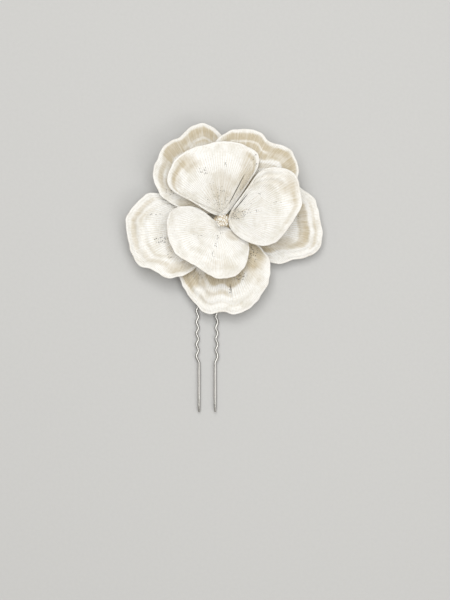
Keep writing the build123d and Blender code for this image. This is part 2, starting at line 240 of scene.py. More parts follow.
# Soft ovals on a petal, mostly painted shade in ecru where higher petals shade it and in the
# crevices, or painted highlight in whiter thread where the strength is below 0. Each has the X and
# Y of its middle, half its width and height, and its strength.
PAINTED_SHADE_AND_HIGHLIGHT = {
    "outer_left": [(-23.5, -10.5, 2, 6, 0.4), (-12, 5, 9, 3, 0.8)],
    "inner_bottom": [(4.6, -6.4, 3.4, 2.4, 0.4), (-6, -9, 8, 4, -0.3), (-1, -19.5, 7, 2, 0.25)],
    "inner_top": [
        (0.5, 13.5, 7.5, 9, 0.3), (-15.5, 25.5, 5.4, 3.8, 0.65), (11, 20, 3.4, 9, 0.6),
        (-3, 28.5, 8.5, 3.6, -0.35), (-12.5, 16.5, 4, 3.4, -0.35), (-20.5, 19, 1.8, 4, 0.4),
        (5, 24, 4, 3, -0.3),
    ],
    "inner_right": [
        (25, 16.5, 8.5, 4.6, 0.3), (18, 1, 10, 7, -0.35), (31, 13, 3, 6, 0.3),
        (6.6, 3.4, 4.6, 2.6, 0.4),
    ],
    "outer_bottom": [
        (2, -37, 12, 2.4, -0.2), (-12, -26, 7, 3.4, 0.5), (13.5, -15, 5.5, 7.5, 1.1),
        (14.5, -26, 4, 2.5, 0.3),
    ],
    "outer_right": [(33, -14.5, 9, 3.4, -0.45), (40, 4, 4, 6, -0.15), (24, -10.5, 8, 3.4, 0.55)],
    "outer_top_left": [(-10, 6.5, 10, 5, 0.7), (-25, 15, 3, 4, 0.25), (-9, 33.5, 8, 2.2, -0.4)],
    "outer_top_right": [(11, 14, 5, 10, 0.9), (24, 27, 6, 3, -0.3)],
}

# Soft ovals of needle holes, in the same form
HOLES = {
    "outer_left": [
        (-28, -8.2, 3.4, 1.7, 1), (-23.4, -15, 1.6, 1.6, 1), (-30.4, 3.2, 2.8, 0.7, 0.9),
    ],
    "outer_top_left": [(-24, 13, 2.5, 1.5, 0.7)],
    "outer_bottom": [
        (3.4, -30.6, 0.6, 2, 1), (8, -25, 3, 2, 0.8), (13.8, -14.5, 2.6, 4, 0.8),
        (-11, -24.6, 4, 1.6, 0.5),
    ],
    "outer_right": [(34.5, 3, 1, 1.6, 0.8)],
    "inner_bottom": [
        (-2.4, -7.6, 0.6, 2, 0.9), (-3.2, -11, 0.6, 2, 0.9), (-4.2, -14.8, 0.6, 2, 0.8),
        (-10, -6.4, 3, 1, 0.5), (-0.4, -4.8, 2, 1.4, 0.5),
    ],
    "inner_top": [
        (15.3, 29.4, 0.9, 0.9, 1), (14.2, 27.4, 0.8, 0.8, 1), (15.2, 24.6, 0.8, 1, 1),
        (-8.4, 22, 2.6, 1.6, 0.8), (1.4, 24, 0.5, 3.6, 0.8), (-0.8, 10, 3.4, 5.4, 0.6),
        (-7, 9, 1.2, 1.4, 0.9), (-4.6, 15.5, 1.2, 3, 0.4),
    ],
    "inner_right": [
        (7.2, 2.6, 3.6, 2.2, 0.8), (12.6, 4.2, 3.6, 1, 0.7), (11, 7.6, 2, 0.8, 0.5),
        (16.6, 11.4, 1.4, 0.8, 0.9), (24.6, 7.6, 2.4, 0.7, 0.6),
    ],
}

# Gap between two threads: where it starts and ends on the petal
SLITS = {
    "inner_top": ((2.9, 7.6), (9.7, 20.3)),
    "inner_right": ((5.0, 4.4), (11.2, 11.6)),
    "outer_bottom": ((3.4, -28.6), (4.0, -32.4)),
}


def length_setting(name, description, default):
    return FloatProperty(name=name, description=description, default=default, unit="LENGTH")


def power_setting(name, description, default):
    return FloatProperty(name=name, description=description, default=default, unit="POWER")


def colour_setting(name, description, default):
    return FloatVectorProperty(name=name, description=description, default=default,
                               subtype="COLOR", min=0, max=1)


class ThreadWork(bpy.types.PropertyGroup):
    """Sizes and colours of the embroidery and the sewing."""

    thread_pitch: length_setting(
        "Thread Pitch", "Width of one thread at the petal's rim", 0.00072)
    thread_relief: length_setting(
        "Thread Relief", "Height of a thread over the grooves beside it", 0.00017)
    cloth_thickness: length_setting(
        "Cloth Thickness", "Thickness of the petal cloth without its threads", 0.0004)
    ripple_height: length_setting(
        "Ripple Height", "Height of the ripples that follow the petal's rim", 0.0003)
    rim_width: length_setting("Rim Width", "Width of the satin-stitched rim", 0.0009)
    rim_height: length_setting("Rim Height", "Thickness of the satin-stitched rim", 0.0007)
    rim_pitch: length_setting(
        "Rim Stitch Pitch", "Width of one stitch along the rim", 0.00052)
    white: colour_setting(
        "White Thread", "Main colour of the embroidery", (0.865, 0.868, 0.858))
    # Ecru, also the colour of the painted shade on the petals
    ecru: colour_setting("Ecru Thread", "Colour of the darker bands", (0.47, 0.4, 0.275))
    felt: colour_setting("Felt", "Colour of the felt back", (0.74, 0.7, 0.6))


class PinMetal(bpy.types.PropertyGroup):
    """Finish of the steel pin."""

    steel: colour_setting("Steel", "Colour of the pin's wire", (0.44, 0.43, 0.41))
    steel_roughness: FloatProperty(
        name="Steel Roughness", description="How dull the drawn wire is",
        default=0.3, min=0, max=1, subtype="FACTOR")


class Studio(bpy.types.PropertyGroup):
    """Floor, lights and camera."""

    floor: colour_setting("Floor", "Colour of the floor", (0.55, 0.55, 0.545))
    view_length: length_setting(
        "View Length", "Height of the picture at the flower", 0.27)
    key_power: power_setting("Key Light", "Power of the slanting light", 1.4)
    fill_power: power_setting(
        "Fill Light", "Power of the light that softens the shadows", 1.6)
    front_power: power_setting("Front Light", "Power of the light over the camera", 7.7)


def sum_of(operation, swapped=False):
    """Method that joins a socket and another value with one maths node."""

    def joined(self, other):
        first, second = (other, self) if swapped else (self, other)
        return self.finish.node("ShaderNodeMath", {"operation": operation}, {0: first, 1: second})

    return joined


class Socket:
    """Output of a shader node that can be used in sums."""

    __add__ = sum_of("ADD")
    __radd__ = sum_of("ADD", swapped=True)
    __sub__ = sum_of("SUBTRACT")
    __rsub__ = sum_of("SUBTRACT", swapped=True)
    __mul__ = sum_of("MULTIPLY")
    __truediv__ = sum_of("DIVIDE")

    def __init__(self, finish, socket):
        self.finish = finish
        self.socket = socket


class Finish:
    """Material under construction, with the constants of its shader."""

    def __init__(self, name, **constants):
        self.material = bpy.data.materials.new(name)
        self.material.use_nodes = True
        self.tree = self.material.node_tree
        self.shader = self.tree.nodes["Principled BSDF"]
        for key, value in constants.items():
            self.shader.inputs[key.replace("_", " ")].default_value = value

    def node(self, kind, settings=None, inputs=None, output=0):
        """Adds a node, sets it up, fills or links its inputs and gives one of its outputs."""
        node = self.tree.nodes.new(kind)
        for key, value in (settings or {}).items():
            setattr(node, key, value)
        for key, value in (inputs or {}).items():
            if isinstance(value, Socket):
                self.tree.links.new(value.socket, node.inputs[key])
            else:
                node.inputs[key].default_value = value
        return Socket(self, node.outputs[output])

    def clamped(self, value):
        return self.node("ShaderNodeClamp", None, {0: value})

    def maths(self, operation, value):
        return self.node("ShaderNodeMath", {"operation": operation}, {0: value})

    def blend(self, mask, first, second):
        """Colour that goes from first to second as mask goes from 0 to 1."""
        return self.node("ShaderNodeMix", {"data_type": "RGBA"}, {0: mask, 6: first, 7: second}, 2)

    def point(self, x, y, z=0.0):
        return self.node("ShaderNodeCombineXYZ", None, {0: x, 1: y, 2: z})

    def noise(self, where, scale=1.0, detail=2.0, roughness=0.5):
        """Soft noise at a place, from 0 to 1."""
        inputs = {"Vector": where, "Scale": scale, "Detail": detail, "Roughness": roughness}
        return self.node("ShaderNodeTexNoise", None, inputs)

    def attribute(self, name):
        return self.node("ShaderNodeAttribute", {"attribute_name": name}, None, "Fac")

    def place(self):
        """The piece's own coordinates, in metres."""
        return self.node("ShaderNodeTexCoord", None, None, "Object")

    def parts(self, vector):
        """X, Y and Z of a vector."""
        node = self.node("ShaderNodeSeparateXYZ", None, {0: vector}).socket.node
        return [Socket(self, output) for output in node.outputs]

    def threads(self):
        """Distances across the threads and along them, in millimetres."""
        return self.parts(self.node("ShaderNodeUVMap", {"uv_map": "threads"}))[:2]

    def bump(self, height, distance, strength):
        return self.node("ShaderNodeBump", None,
                         {"Strength": strength, "Distance": distance, "Height": height})

    def feed(self, **links):
        """Links what varies over the surface to the shader."""
        for key, value in links.items():
            self.tree.links.new(value.socket, self.shader.inputs[key.replace("_", " ")])
        return self.material


def rgba(colour, factor=1.0):
    """The colour, brighter or darker by factor, with full alpha."""
    return (*(min(part * factor, 1.0) for part in colour), 1.0)


def embroidered_cloth(work):
    """Straight silky threads laid side by side, with ecru bands, needle holes, painted shade and sheen."""
    finish = Finish("embroidered_cloth", Sheen_Weight=0.2, Sheen_Roughness=0.4)
    across, along = finish.threads()
    streak = finish.noise(finish.point(across * 1.3, along * 0.1))
    cloudy = finish.noise(finish.point(across * 0.12, along * 0.35))
    filament = finish.noise(finish.point(across * 15.0, along * 1.2), roughness=0.6)

    # Ends of the stitches, at another place in each thread
    number = finish.maths("FLOOR", across / (work.thread_pitch / MM))
    start = finish.node("ShaderNodeTexWhiteNoise", {"noise_dimensions": "1D"}, {"W": number})
    step = finish.maths("FRACT", along / STITCH_LENGTH + start)
    off_end = finish.maths("ABSOLUTE", step - 0.5)
    stitch_end = finish.clamped((off_end - 0.455) * 30.0)

    # Needle holes, where the piece has them, and the slit, both filled with painted shade
    cell = finish.node("ShaderNodeTexVoronoi", None,
                       {"Vector": finish.place(), "Scale": 1150.0, "Randomness": 0.9}, "Distance")
    needle = finish.clamped((0.34 - cell) * 9.0)
    hole = finish.clamped(needle * finish.attribute("holes") + finish.attribute("slit"))

    fleck = finish.noise(finish.point(across * 1.5, along * 0.7), 1.0, 3.0, 0.7)
    # Painted shade of soft folds near the root, which the cloth's shape does not have
    fold_shade_noise = finish.noise(finish.point(across * 0.65, along * 0.02))
    painted_fold_shade = finish.clamped((along - 11.0) / 12.0) * (fold_shade_noise - 0.47) * 1.8
    # Ecru bands and ovals, partly painted shade and painted highlight, with tones that vary at random
    shade = finish.clamped(finish.attribute("ecru") * (0.45 + streak * 1.1)
                           + (cloudy - 0.52) * 0.45 + (streak - 0.5) * 0.3
                           + (fleck - 0.5) * 0.5 + painted_fold_shade)
    # Painted sheen: blotches of duller white stand for the shifting sheen of the silk
    sheen_blotch = finish.noise(finish.place(), 150.0, 3.0, 0.55)
    painted_sheen = finish.clamped((sheen_blotch - 0.48) * 5.0)
    white = finish.blend(painted_sheen * 0.75, rgba(work.white), rgba(SHEEN_SHADE_WHITE))
    coloured = finish.blend(shade, white, rgba(work.ecru))
    # Painted shade in the grooves between the threads
    groove_shaded = finish.blend(finish.attribute("groove"), coloured, rgba(GROOVE_PAINTED_SHADE))
    # Painted shade where each stitch dips into the cloth, beside its dent in the bump
    stitch_end_shaded = finish.blend(stitch_end * 0.22, groove_shaded, rgba(STITCH_END_PAINTED_SHADE))
    relief = filament * 0.6 - stitch_end * 0.9 - hole * 2.5
    return finish.feed(
        Base_Color=finish.blend(hole * 0.9, stitch_end_shaded, rgba(HOLE_PAINTED_SHADE)),
        Roughness=0.36 + filament * 0.22,
        Normal=finish.bump(relief, 0.00006, 0.7),
    )


def satin_rim(work):
    """Close stitches wrapped across the rim, with painted shade between them."""
    finish = Finish("satin_stitch_edge", Sheen_Weight=0.2, Sheen_Roughness=0.35)
    across, along = finish.threads()
    filament = finish.noise(finish.point(across * 17.0, along * 1.5), roughness=0.6)
    streak = finish.noise(finish.point(across * 1.6, along * 0.1))
    patchy = finish.noise(finish.place(), 160.0)
    shade = finish.clamped((streak - 0.42) * 0.7 + (patchy - 0.5) * 1.1)
    coloured = finish.blend(shade, rgba(work.white, 1.04), rgba(work.ecru))
    # Painted shade in the grooves between the rim's stitches
    return finish.feed(
        Base_Color=finish.blend(finish.attribute("groove"), coloured, rgba(RIM_GROOVE_PAINTED_SHADE)),
        Roughness=0.36 + filament * 0.2,
        Normal=finish.bump(filament, 0.00005, 0.6),
    )


def spun_thread(name, colour, scale):
    """Sewing thread: fine slanting plies with painted shade between them, and a little fuzz."""
    finish = Finish(name, Sheen_Weight=0.2, Sheen_Roughness=0.5)
    place = finish.place()
    ply = finish.node("ShaderNodeTexWave", {"bands_direction": "DIAGONAL"},
                      {"Vector": place, "Scale": scale, "Distortion": 2.0, "Detail": 1.0})
    fuzz = finish.noise(place, 5200.0)
    tint = finish.noise(place, 420.0)
    # Painted shade in the hollows between plies, with tone that varies at random
    shade = finish.clamped((1.0 - ply) * 0.35 + (tint - 0.35) * 0.7)
    return finish.feed(
        Base_Color=finish.blend(shade, rgba(colour), rgba(colour, 0.72)),
        Roughness=0.5 + fuzz * 0.25,
        Normal=finish.bump(ply + fuzz * 0.5, 0.00004, 0.6),
    )


def wool_felt(name, felt):
    """Matted wool: short crossed fibres, slightly pilled."""
    finish = Finish(name, Sheen_Weight=0.35, Sheen_Roughness=0.6)
    place = finish.place()
    matting = finish.noise(place, 900.0, 4.0, 0.65)
    fibre = finish.node("ShaderNodeTexVoronoi", {"feature": "DISTANCE_TO_EDGE"},
                        {"Vector": place, "Scale": 1700.0, "Randomness": 1.0}, "Distance")
    pill = finish.noise(place, 260.0)
    shade = finish.clamped((matting - 0.4) * 1.5 + (pill - 0.5) * 0.8)
    dark = [part * part for part in felt]
    return finish.feed(
        Base_Color=finish.blend(shade, rgba(felt), rgba(dark, 0.86)),
        Roughness=0.88 + matting * 0.12,
        Normal=finish.bump(matting + fibre * 0.8 + pill, 0.00022, 0.8),
    )


def drawn_steel(metal):
    """Satin steel wire: fine lines along it, small scuffs, and a darker, duller tip."""
    finish = Finish("pin_steel", Metallic=1.0)
    x, y, z = finish.parts(finish.place())
    lines = finish.noise(finish.point(x * 9000.0, y * 240.0, z * 9000.0), 1.0, 3.0, 0.6)
    scuff = finish.noise(finish.place(), 900.0, 3.0, 0.6)
    # Darker and rougher towards the end of the tip, plus small scuffs
    tip = finish.clamped((-0.0785 - y) * 120.0)
    scuffs_and_dark_tip = finish.clamped((scuff - 0.56) * 2.0 + tip * 0.5)
    return finish.feed(
        Base_Color=finish.blend(scuffs_and_dark_tip, rgba(metal.steel), rgba(metal.steel, 0.52)),
        Roughness=metal.steel_roughness - 0.08 + lines * 0.2 + scuffs_and_dark_tip * 0.12,
        Normal=finish.bump(lines, 0.00002, 0.5),
    )


def thread_finish(work):
    """The sewing thread's finish, made the first time that it is asked for."""
    return (bpy.data.materials.get("sewing_thread")
            or spun_thread("sewing_thread", work.white, PLY_SCALE))


def give(piece, body, slot, material, *nodes):
    """Sends a finished piece to its body, with its finish and the CAD nodes that it stands for."""
    piece.data.materials.clear()
    piece.data.materials.append(material)
    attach(piece, body)
    if nodes:
        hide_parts(*nodes)


# Petal cloth


def eye_point(petal):
    """Middle of the petal's wire eye, in millimetres."""
    return Vector((petal.eye_reach * cos(petal.turn), petal.eye_reach * sin(petal.turn), petal.eye_z))


def cloth_height(petal, x, y):
    """Height of the middle of the petal's cloth over points x, y, in millimetres."""
    turn = petal.turn
    eye = eye_point(petal)
    along = (x - eye.x) * cos(turn) + (y - eye.y) * sin(turn)
    across = (y - eye.y) * cos(turn) - (x - eye.x) * sin(turn)
    out = np.maximum(along / petal.reach, BEHIND_EYE)
    side = across / petal.half_width
    far = np.minimum(np.hypot(along, across) / petal.reach, BEYOND_RIM)
    ahead = petal.mid_rise * 4 * out * (1 - out) + petal.rim_rise * out * (2 * out - 1)
    behind = (petal.mid_rise * 4 - petal.rim_rise) * out
    arch = np.where(out > 0, ahead, behind)
    cup = petal.side_rise * side**2 + petal.side_tilt * side
    turns = petal.wave_count * np.arctan2(across, along) + petal.wave_phase
    return petal.root_z + arch + cup + petal.wave * far**3 * np.cos(turns)


def following(values):
    """The values one place further round a closed path."""
    return np.roll(values, -1, axis=0)


def lengths(vectors):
    """Length of each row of X and Y."""
    return np.hypot(*vectors.T)


def course(path):
    """Unit direction of a closed path at each point, and the distance between its neighbours."""
    run = following(path) - np.roll(path, 1, axis=0)
    step = lengths(run)
    return run / step[:, None], step


def enclosed(path):
    """Area inside a closed path, below 0 where it runs clockwise."""
    after = following(path)
    return np.sum(path[:, 0] * after[:, 1] - after[:, 0] * path[:, 1]) / 2


def side_by_side(*columns):
    """Columns of a table, each an array or one value for all of its rows."""
    return np.column_stack(np.broadcast_arrays(*columns))


def smooth_outline(outline):
    """Closed smooth curve through the outline's points, anticlockwise."""
    points = np.array(outline, dtype=float)
    if enclosed(points) < 0:
        points = points[::-1]
    runs = following(points) - points
    count = len(points)
    gaps = lengths(runs)
    slopes = runs / gaps[:, None]
    system = np.zeros((count, count))
    for i in range(count):
        system[i, i - 1] += gaps[i - 1]
        system[i, i] += 2 * (gaps[i - 1] + gaps[i])
        system[i, (i + 1) % count] += gaps[i]
    bends = np.linalg.solve(system, 6 * (slopes - np.roll(slopes, 1, axis=0)))
    share = np.linspace(0, 1, POINTS_PER_RUN, endpoint=False)[:, None]
    curves = []
    for i in range(count):
        j = (i + 1) % count
        straight = points[i] * (1 - share) + points[j] * share
        bent = ((1 - share)**3 - (1 - share)) * bends[i] + (share**3 - share) * bends[j]
        curves.append(straight + gaps[i]**2 / 6 * bent)
    return np.vstack(curves)


def inset(path, distance):
    """Closed path moved inwards by distance, which may differ along it."""
    run, _ = course(path)
    return path + np.reshape(distance, (-1, 1)) * side_by_side(-run[:, 1], run[:, 0])


def smooth_step(value):
    value = np.clip(value, 0, 1)
    return value * value * (3 - 2 * value)


def soft_window(value, start, stop, softness):
    """1 between start and stop, falling to 0 over softness on each side."""
    return smooth_step((value - start) / softness + 0.5) * smooth_step((stop - value) / softness + 0.5)


def rim_path(petal, work, seed):
    """Middle of the petal's rim, with the small unevenness of stitching by hand."""
    path = smooth_outline(petal.outline)
    eye = eye_point(petal)
    bearing = np.arctan2(path[:, 1] - eye.y, path[:, 0] - eye.x)
    reach = np.hypot(path[:, 0] - eye.x, path[:, 1] - eye.y)
    depth = 0.26 if petal.is_outer else 0.12
    waves = np.sin(19 * bearing + 2.1 * seed) + 0.7 * np.sin(31 * bearing + 4.4 * seed)
    waves += 0.5 * np.sin(47 * bearing + 0.7 * seed)
    grown = smooth_step((reach - 12) / 10)
    path = inset(path, depth * (0.9 - 0.55 * waves) * grown)
    return inset(path, work.rim_width / MM / 2)


def evenly(path, count, behind):
    """Closed path as count evenly spaced points, from the one nearest to behind on, and its length."""
    first = int(np.argmin(lengths(path - behind)))
    path = np.roll(path, -first, axis=0)
    closed = np.vstack([path, path[:1]])
    travelled = np.concatenate([[0], np.cumsum(lengths(np.diff(closed, axis=0)))])
    places = np.linspace(0, travelled[-1], count, endpoint=False)
    x = np.interp(places, travelled, closed[:, 0])
    y = np.interp(places, travelled, closed[:, 1])
    return side_by_side(x, y), travelled[-1]


def oval_mask(patches, x, y, softness):
    """Strengths of the ovals over each point, added up."""
    mask = np.zeros_like(x)
    for middle_x, middle_y, half_x, half_y, strength in patches:
        off = np.hypot((x - middle_x) / half_x, (y - middle_y) / half_y)
        mask += strength * smooth_step((1 - off) / softness + 0.5)
    return mask


def ridges(place, lifts):
    """Height over threads side by side, 0 between them and up to each one's own lift."""
    return (0.5 - 0.5 * np.cos(2 * pi * place))**0.8 * lifts[place.astype(int) % len(lifts)]


def thread_heights(columns, share, threads, pitch, seed):
    """Height of the threads from 0 in the grooves to 1, for each point of the fan.

    Threads that would crowd towards the root are left out there, every other one at a time.
    """
    chance = np.random.default_rng(seed)
    crowding = np.clip(np.log2(0.62 / np.maximum(pitch * share, 0.01)) + 0.4, 0, 3)
    level = np.floor(crowding)
    mix = smooth_step((crowding - level - 0.25) / 0.5)[:, None]
    heights = []
    for doubling in range(5):
        place = columns / (POINTS_PER_THREAD * 2**doubling)
        heights.append(ridges(place, chance.uniform(0.55, 1.0, threads)))
    height = np.zeros((len(share), len(columns)))
    for doubling in range(4):
        mixed = heights[doubling] * (1 - mix) + heights[doubling + 1] * mix
        height = np.where((level == doubling)[:, None], mixed, height)
    return height


def mesh_piece(name, points, faces, corners, attributes):
    """Object from points in millimetres, faces, their corners' UVs, and point values."""
    mesh = bpy.data.meshes.new(name)
    mesh.from_pydata((points * MM).tolist(), [], faces)
    layer = mesh.uv_layers.new(name="threads")
    uv = np.vstack([group.reshape(-1, 2) for group in corners])
    layer.data.foreach_set("uv", uv.astype(np.float32).ravel())
    for key, values in attributes.items():
        data = mesh.attributes.new(key, "FLOAT", "POINT")
        data.data.foreach_set("value", np.asarray(values, dtype=np.float32).ravel())
    mesh.shade_smooth()
    mesh.update()
    piece = bpy.data.objects.new(name, mesh)
    bpy.context.scene.collection.objects.link(piece)
    return piece


def face_corners(*corners):
    """The U and V of each corner, for a row of faces."""
    return np.stack([side_by_side(*corner) for corner in corners], axis=1)


class Fan:
    """Threads of a petal's cloth: a row of points round the rim, then rows closer in to the root."""

    def __init__(self, petal, work, seed):
        self.petal = petal
        self.seed = seed
        ahead = np.array([cos(petal.turn), sin(petal.turn)])
        start = OUTER_THREADS_START if petal.is_outer else INNER_THREADS_START
        eye = eye_point(petal)
        self.root = np.array([eye.x + start * ahead[0], eye.y + start * ahead[1]])
        path = rim_path(petal, work, seed)
        rough_length = lengths(following(path) - path).sum()
        self.threads = round(rough_length / (work.thread_pitch / MM) / 16) * 16
        self.count = self.threads * POINTS_PER_THREAD
        rim, self.length = evenly(path, self.count, self.root - FAR_OFF * ahead)
        self.rows = 1 - (1 - ROOT_SHARE) * np.linspace(0, 1, TOP_ROWS)**ROW_SPREAD
        self.share = self.rows[:, None]
        self.x = self.root[0] + self.share * (rim[:, 0] - self.root[0])
        self.y = self.root[1] + self.share * (rim[:, 1] - self.root[1])
        self.span = lengths(rim - self.root)
        self.inward = (1 - self.share) * self.span
        bearing = np.arctan2(rim[:, 1] - self.root[1], rim[:, 0] - self.root[0])
        self.bearing = np.degrees(bearing)[None, :] + 0 * self.share
        self.fade = (smooth_step(self.inward / 2.0)
                     * (1 - 0.75 * smooth_step((self.inward - 7) / 9)))

    def wave(self, times, phase):
        """Wave over the bearing, with that many periods in a full turn."""
        return np.sin(np.radians(times * self.bearing) + phase)

    def ripple(self, height):
        """Ripples that follow the rim, strongest a little way in, with a slight swell."""
        x, y, seed = self.x, self.y, self.seed
        sway = 0.9 * self.wave(3, seed) + 0.7 * self.wave(7, 2 * seed)
        strength = 0.6 + 0.4 * self.wave(2, 3 * seed)
        size = height * (1.0 if self.petal.is_outer else 0.6)
        ripple = size * self.fade * strength * np.sin(2 * pi * self.inward / RIPPLE_PITCH + sway)
        swell = np.sin(x / 3.1 + seed) * np.sin(y / 2.7 - 2 * seed) + 0.6 * np.sin((x + y) / 1.9 + seed)
        ripple += 0.1 * swell * smooth_step(self.inward / 3.0) * smooth_step(self.share * 2.5 - 0.3)
        return ripple

    def slit(self):
        """1 in the gap between two threads, 0 elsewhere."""
        if self.petal.name not in SLITS:
            return np.zeros_like(self.x)
        start, stop = (np.array(point) for point in SLITS[self.petal.name])
        run = stop - start
        reach = hypot(*run)
        along = ((self.x - start[0]) * run[0] + (self.y - start[1]) * run[1]) / reach
        off = np.abs((self.x - start[0]) * run[1] - (self.y - start[1]) * run[0]) / reach
        half = SLIT_WIDTH / 2 * np.sin(pi * np.clip(along / reach, 0, 1))**0.5
        return smooth_step((half - off) / 0.12 + 0.5) * (half > 0)

    def ecru(self, ripple):
        """Ecru thread and painted shade: bands along the rim, soft patches and the ripples' hollows."""
        name, seed = self.petal.name, self.seed
        ecru = np.zeros_like(self.x)
        wobble = 0.8 * self.wave(5, seed) + 0.5 * self.wave(11, -seed)
        for near, far, start, stop, strength in ECRU_AND_SHADE_BANDS[name]:
            off = (self.bearing - (start + stop) / 2 + 180) % 360 - 180
            half = (stop - start) / 2
            arc = soft_window(off, -half, half, 14.0)
            ecru = np.maximum(ecru, strength * arc
                              * soft_window(self.inward + wobble * 0.5, near, far, 1.4))
        ecru += oval_mask(PAINTED_SHADE_AND_HIGHLIGHT.get(name, []), self.x, self.y, 1.0)
        # Painted shade in the hollows of the ripples
        return np.clip(ecru + 0.14 * np.clip(-ripple / 0.26, -1, 1) * self.fade, -0.4, 1)

    def strips(self, first, rows, flip):
        """Faces between rows of points that start at number first, and their corners' UVs."""
        columns = np.arange(self.count)
        after = following(columns)
        left, right = self.thread_sides()
        faces = []
        corners = []
        for number in range(len(rows) - 1):
            near = first + number * self.count
            far = near + self.count
            v_near, v_far = self.inward[rows[number]], self.inward[rows[number + 1]]
            quads = side_by_side(near + columns, near + after, far + after, far + columns)
            uv = face_corners((left, v_near), (right, v_near[after]), (right, v_far[after]), (left, v_far))
            if flip:
                quads = quads[:, ::-1]
                uv = uv[:, ::-1]
            faces.extend(quads.tolist())
            corners.append(uv)
        return faces, corners

    def thread_sides(self):
        """U on the left and on the right of each column of faces."""
        across = np.arange(self.count + 1) * self.length / self.count
        return across[:-1], across[1:]


def petal_cloth(petal, work, seed):
    """Embroidered cloth of one petal: a fan of real threads, rippled and closed round its rim."""
    fan = Fan(petal, work, seed)
    x, y = fan.x, fan.y
    columns = np.arange(fan.count)
    ripple = fan.ripple(work.ripple_height / MM)
    tuck = smooth_step(fan.inward / 0.5)
    relief = tuck * thread_heights(columns, fan.rows, fan.threads, fan.length / fan.threads, seed)
    slit = fan.slit()

    middle = cloth_height(petal, x, y) + ripple
    half_cloth = work.cloth_thickness / MM / 2
    height = work.thread_relief / MM
    top = middle + half_cloth + height * relief - SLIT_DEPTH * slit
    top_rows = list(range(TOP_ROWS))
    under_rows = top_rows[:-1:3] + top_rows[-1:]
    bottom = (middle - half_cloth - 0.8 * height * relief)[under_rows]
    points = np.vstack([
        side_by_side(x.ravel(), y.ravel(), top.ravel()),
        side_by_side(x[under_rows].ravel(), y[under_rows].ravel(), bottom.ravel()),
        [[*fan.root, top[-1].mean()], [*fan.root, bottom[-1].mean()]],
    ])
    looks = {
        "ecru": fan.ecru(ripple),
        "holes": np.clip(oval_mask(HOLES.get(petal.name, []), x, y, 0.5), 0, 1),
        "slit": slit,
        # Painted shade in the grooves between threads
        "groove": (1 - relief)**2 * 0.5 * tuck,
    }
    attributes = {}
    for key, values in looks.items():
        attributes[key] = np.concatenate([values.ravel(), values[under_rows].ravel(), [0, 0]])

    under = TOP_ROWS * fan.count
    last_top = under - fan.count
    last_under = under + (len(under_rows) - 1) * fan.count
    hub = len(points) - 2
    after = following(columns)
    left, right = fan.thread_sides()
    faces, corners = fan.strips(0, top_rows, flip=False)
    under_faces, under_corners = fan.strips(under, under_rows, flip=True)
    faces.extend(under_faces)
    corners.extend(under_corners)
    for group in (
        side_by_side(columns, under + columns, under + after, after),
        side_by_side(last_top + columns, last_top + after, hub),
        side_by_side(last_under + after, last_under + columns, hub + 1),
    ):
        faces.extend(group.tolist())
    corners.append(face_corners((left, 0), (left, EDGE_V), (right, EDGE_V), (right, 0)))
    tip = face_corners((left, fan.inward[-1]), (right, fan.inward[-1][after]), (left, fan.span))
    corners.append(tip)
    corners.append(tip[:, [1, 0, 2]])
    return mesh_piece(f"{petal.name}_cloth", points, faces, corners, attributes)


def rounded_off(value):
    """A cosine or sine drawn towards -1 and 1, for a section between an oval and a box."""
    return np.sign(value) * abs(value)**0.8


def petal_rim(petal, work, seed):
    """Satin-stitched rim: a flattened cord of close stitches over the shaping wire."""
    chance = np.random.default_rng(seed + 50)
    half_width = work.rim_width / MM / 2
    half_height = work.rim_height / MM / 2
    path = rim_path(petal, work, seed)
    stitches = round(lengths(following(path) - path).sum() / (work.rim_pitch / MM))
    count = stitches * POINTS_PER_STITCH
    behind = np.array([-FAR_OFF * cos(petal.turn), -FAR_OFF * sin(petal.turn)])
    path, length = evenly(path, count, behind)
    run, step = course(path)
    outward = side_by_side(run[:, 1], -run[:, 0])
    height = cloth_height(petal, *path.T)
    outer = cloth_height(petal, *(path + SLOPE_PROBE * outward).T)
    inner = cloth_height(petal, *(path - SLOPE_PROBE * outward).T)
    level = side_by_side(*outward.T, (outer - inner) / (2 * SLOPE_PROBE))
    level /= np.linalg.norm(level, axis=1)[:, None]
    rise = following(height) - np.roll(height, 1)
    upward = np.cross(level, side_by_side(*run.T, rise / step))
    upward /= np.linalg.norm(upward, axis=1)[:, None]
    upward *= np.sign(upward[:, 2])[:, None]

    ridge = ridges(np.arange(count) / POINTS_PER_STITCH, chance.uniform(0.6, 1.0, stitches))
    eye = eye_point(petal)
    from_root = np.hypot(path[:, 0] - eye.x, path[:, 1] - eye.y)
    swell = (0.9 + 0.16 * ridge) * (0.3 + 0.7 * smooth_step((from_root - 3) / 12))
    centre = side_by_side(*path.T, height)
    rings = []
    for angle in np.arange(RIM_SIDES) * 2 * pi / RIM_SIDES:
        width = half_width * swell * rounded_off(cos(angle))
        thick = half_height * swell * rounded_off(sin(angle))
        rings.append(centre + width[:, None] * level + thick[:, None] * upward)
    points = np.stack(rings, axis=1).reshape(-1, 3)

    faces = []
    corners = []
    index = np.arange(count) * RIM_SIDES
    after = following(index)
    along = np.arange(count + 1) * length / count
    left, right = along[:-1], along[1:]
    around = RIM_AROUND / RIM_SIDES
    for side in range(RIM_SIDES):
        other = (side + 1) % RIM_SIDES
        faces.extend(side_by_side(index + side, index + other, after + other, after + side).tolist())
        near, far = side * around, (side + 1) * around
        corners.append(face_corners((left, near), (left, far), (right, far), (right, near)))
    # Painted shade in the grooves between the stitches
    groove = np.repeat((1 - ridge)**2 * 0.55, RIM_SIDES)
    return mesh_piece(f"{petal.name}_rim", points, faces, corners, {"groove": groove})


# Small sewn and wired pieces


def scaled(values):
    """Millimetres as metres."""
    return [value * MM for value in values]


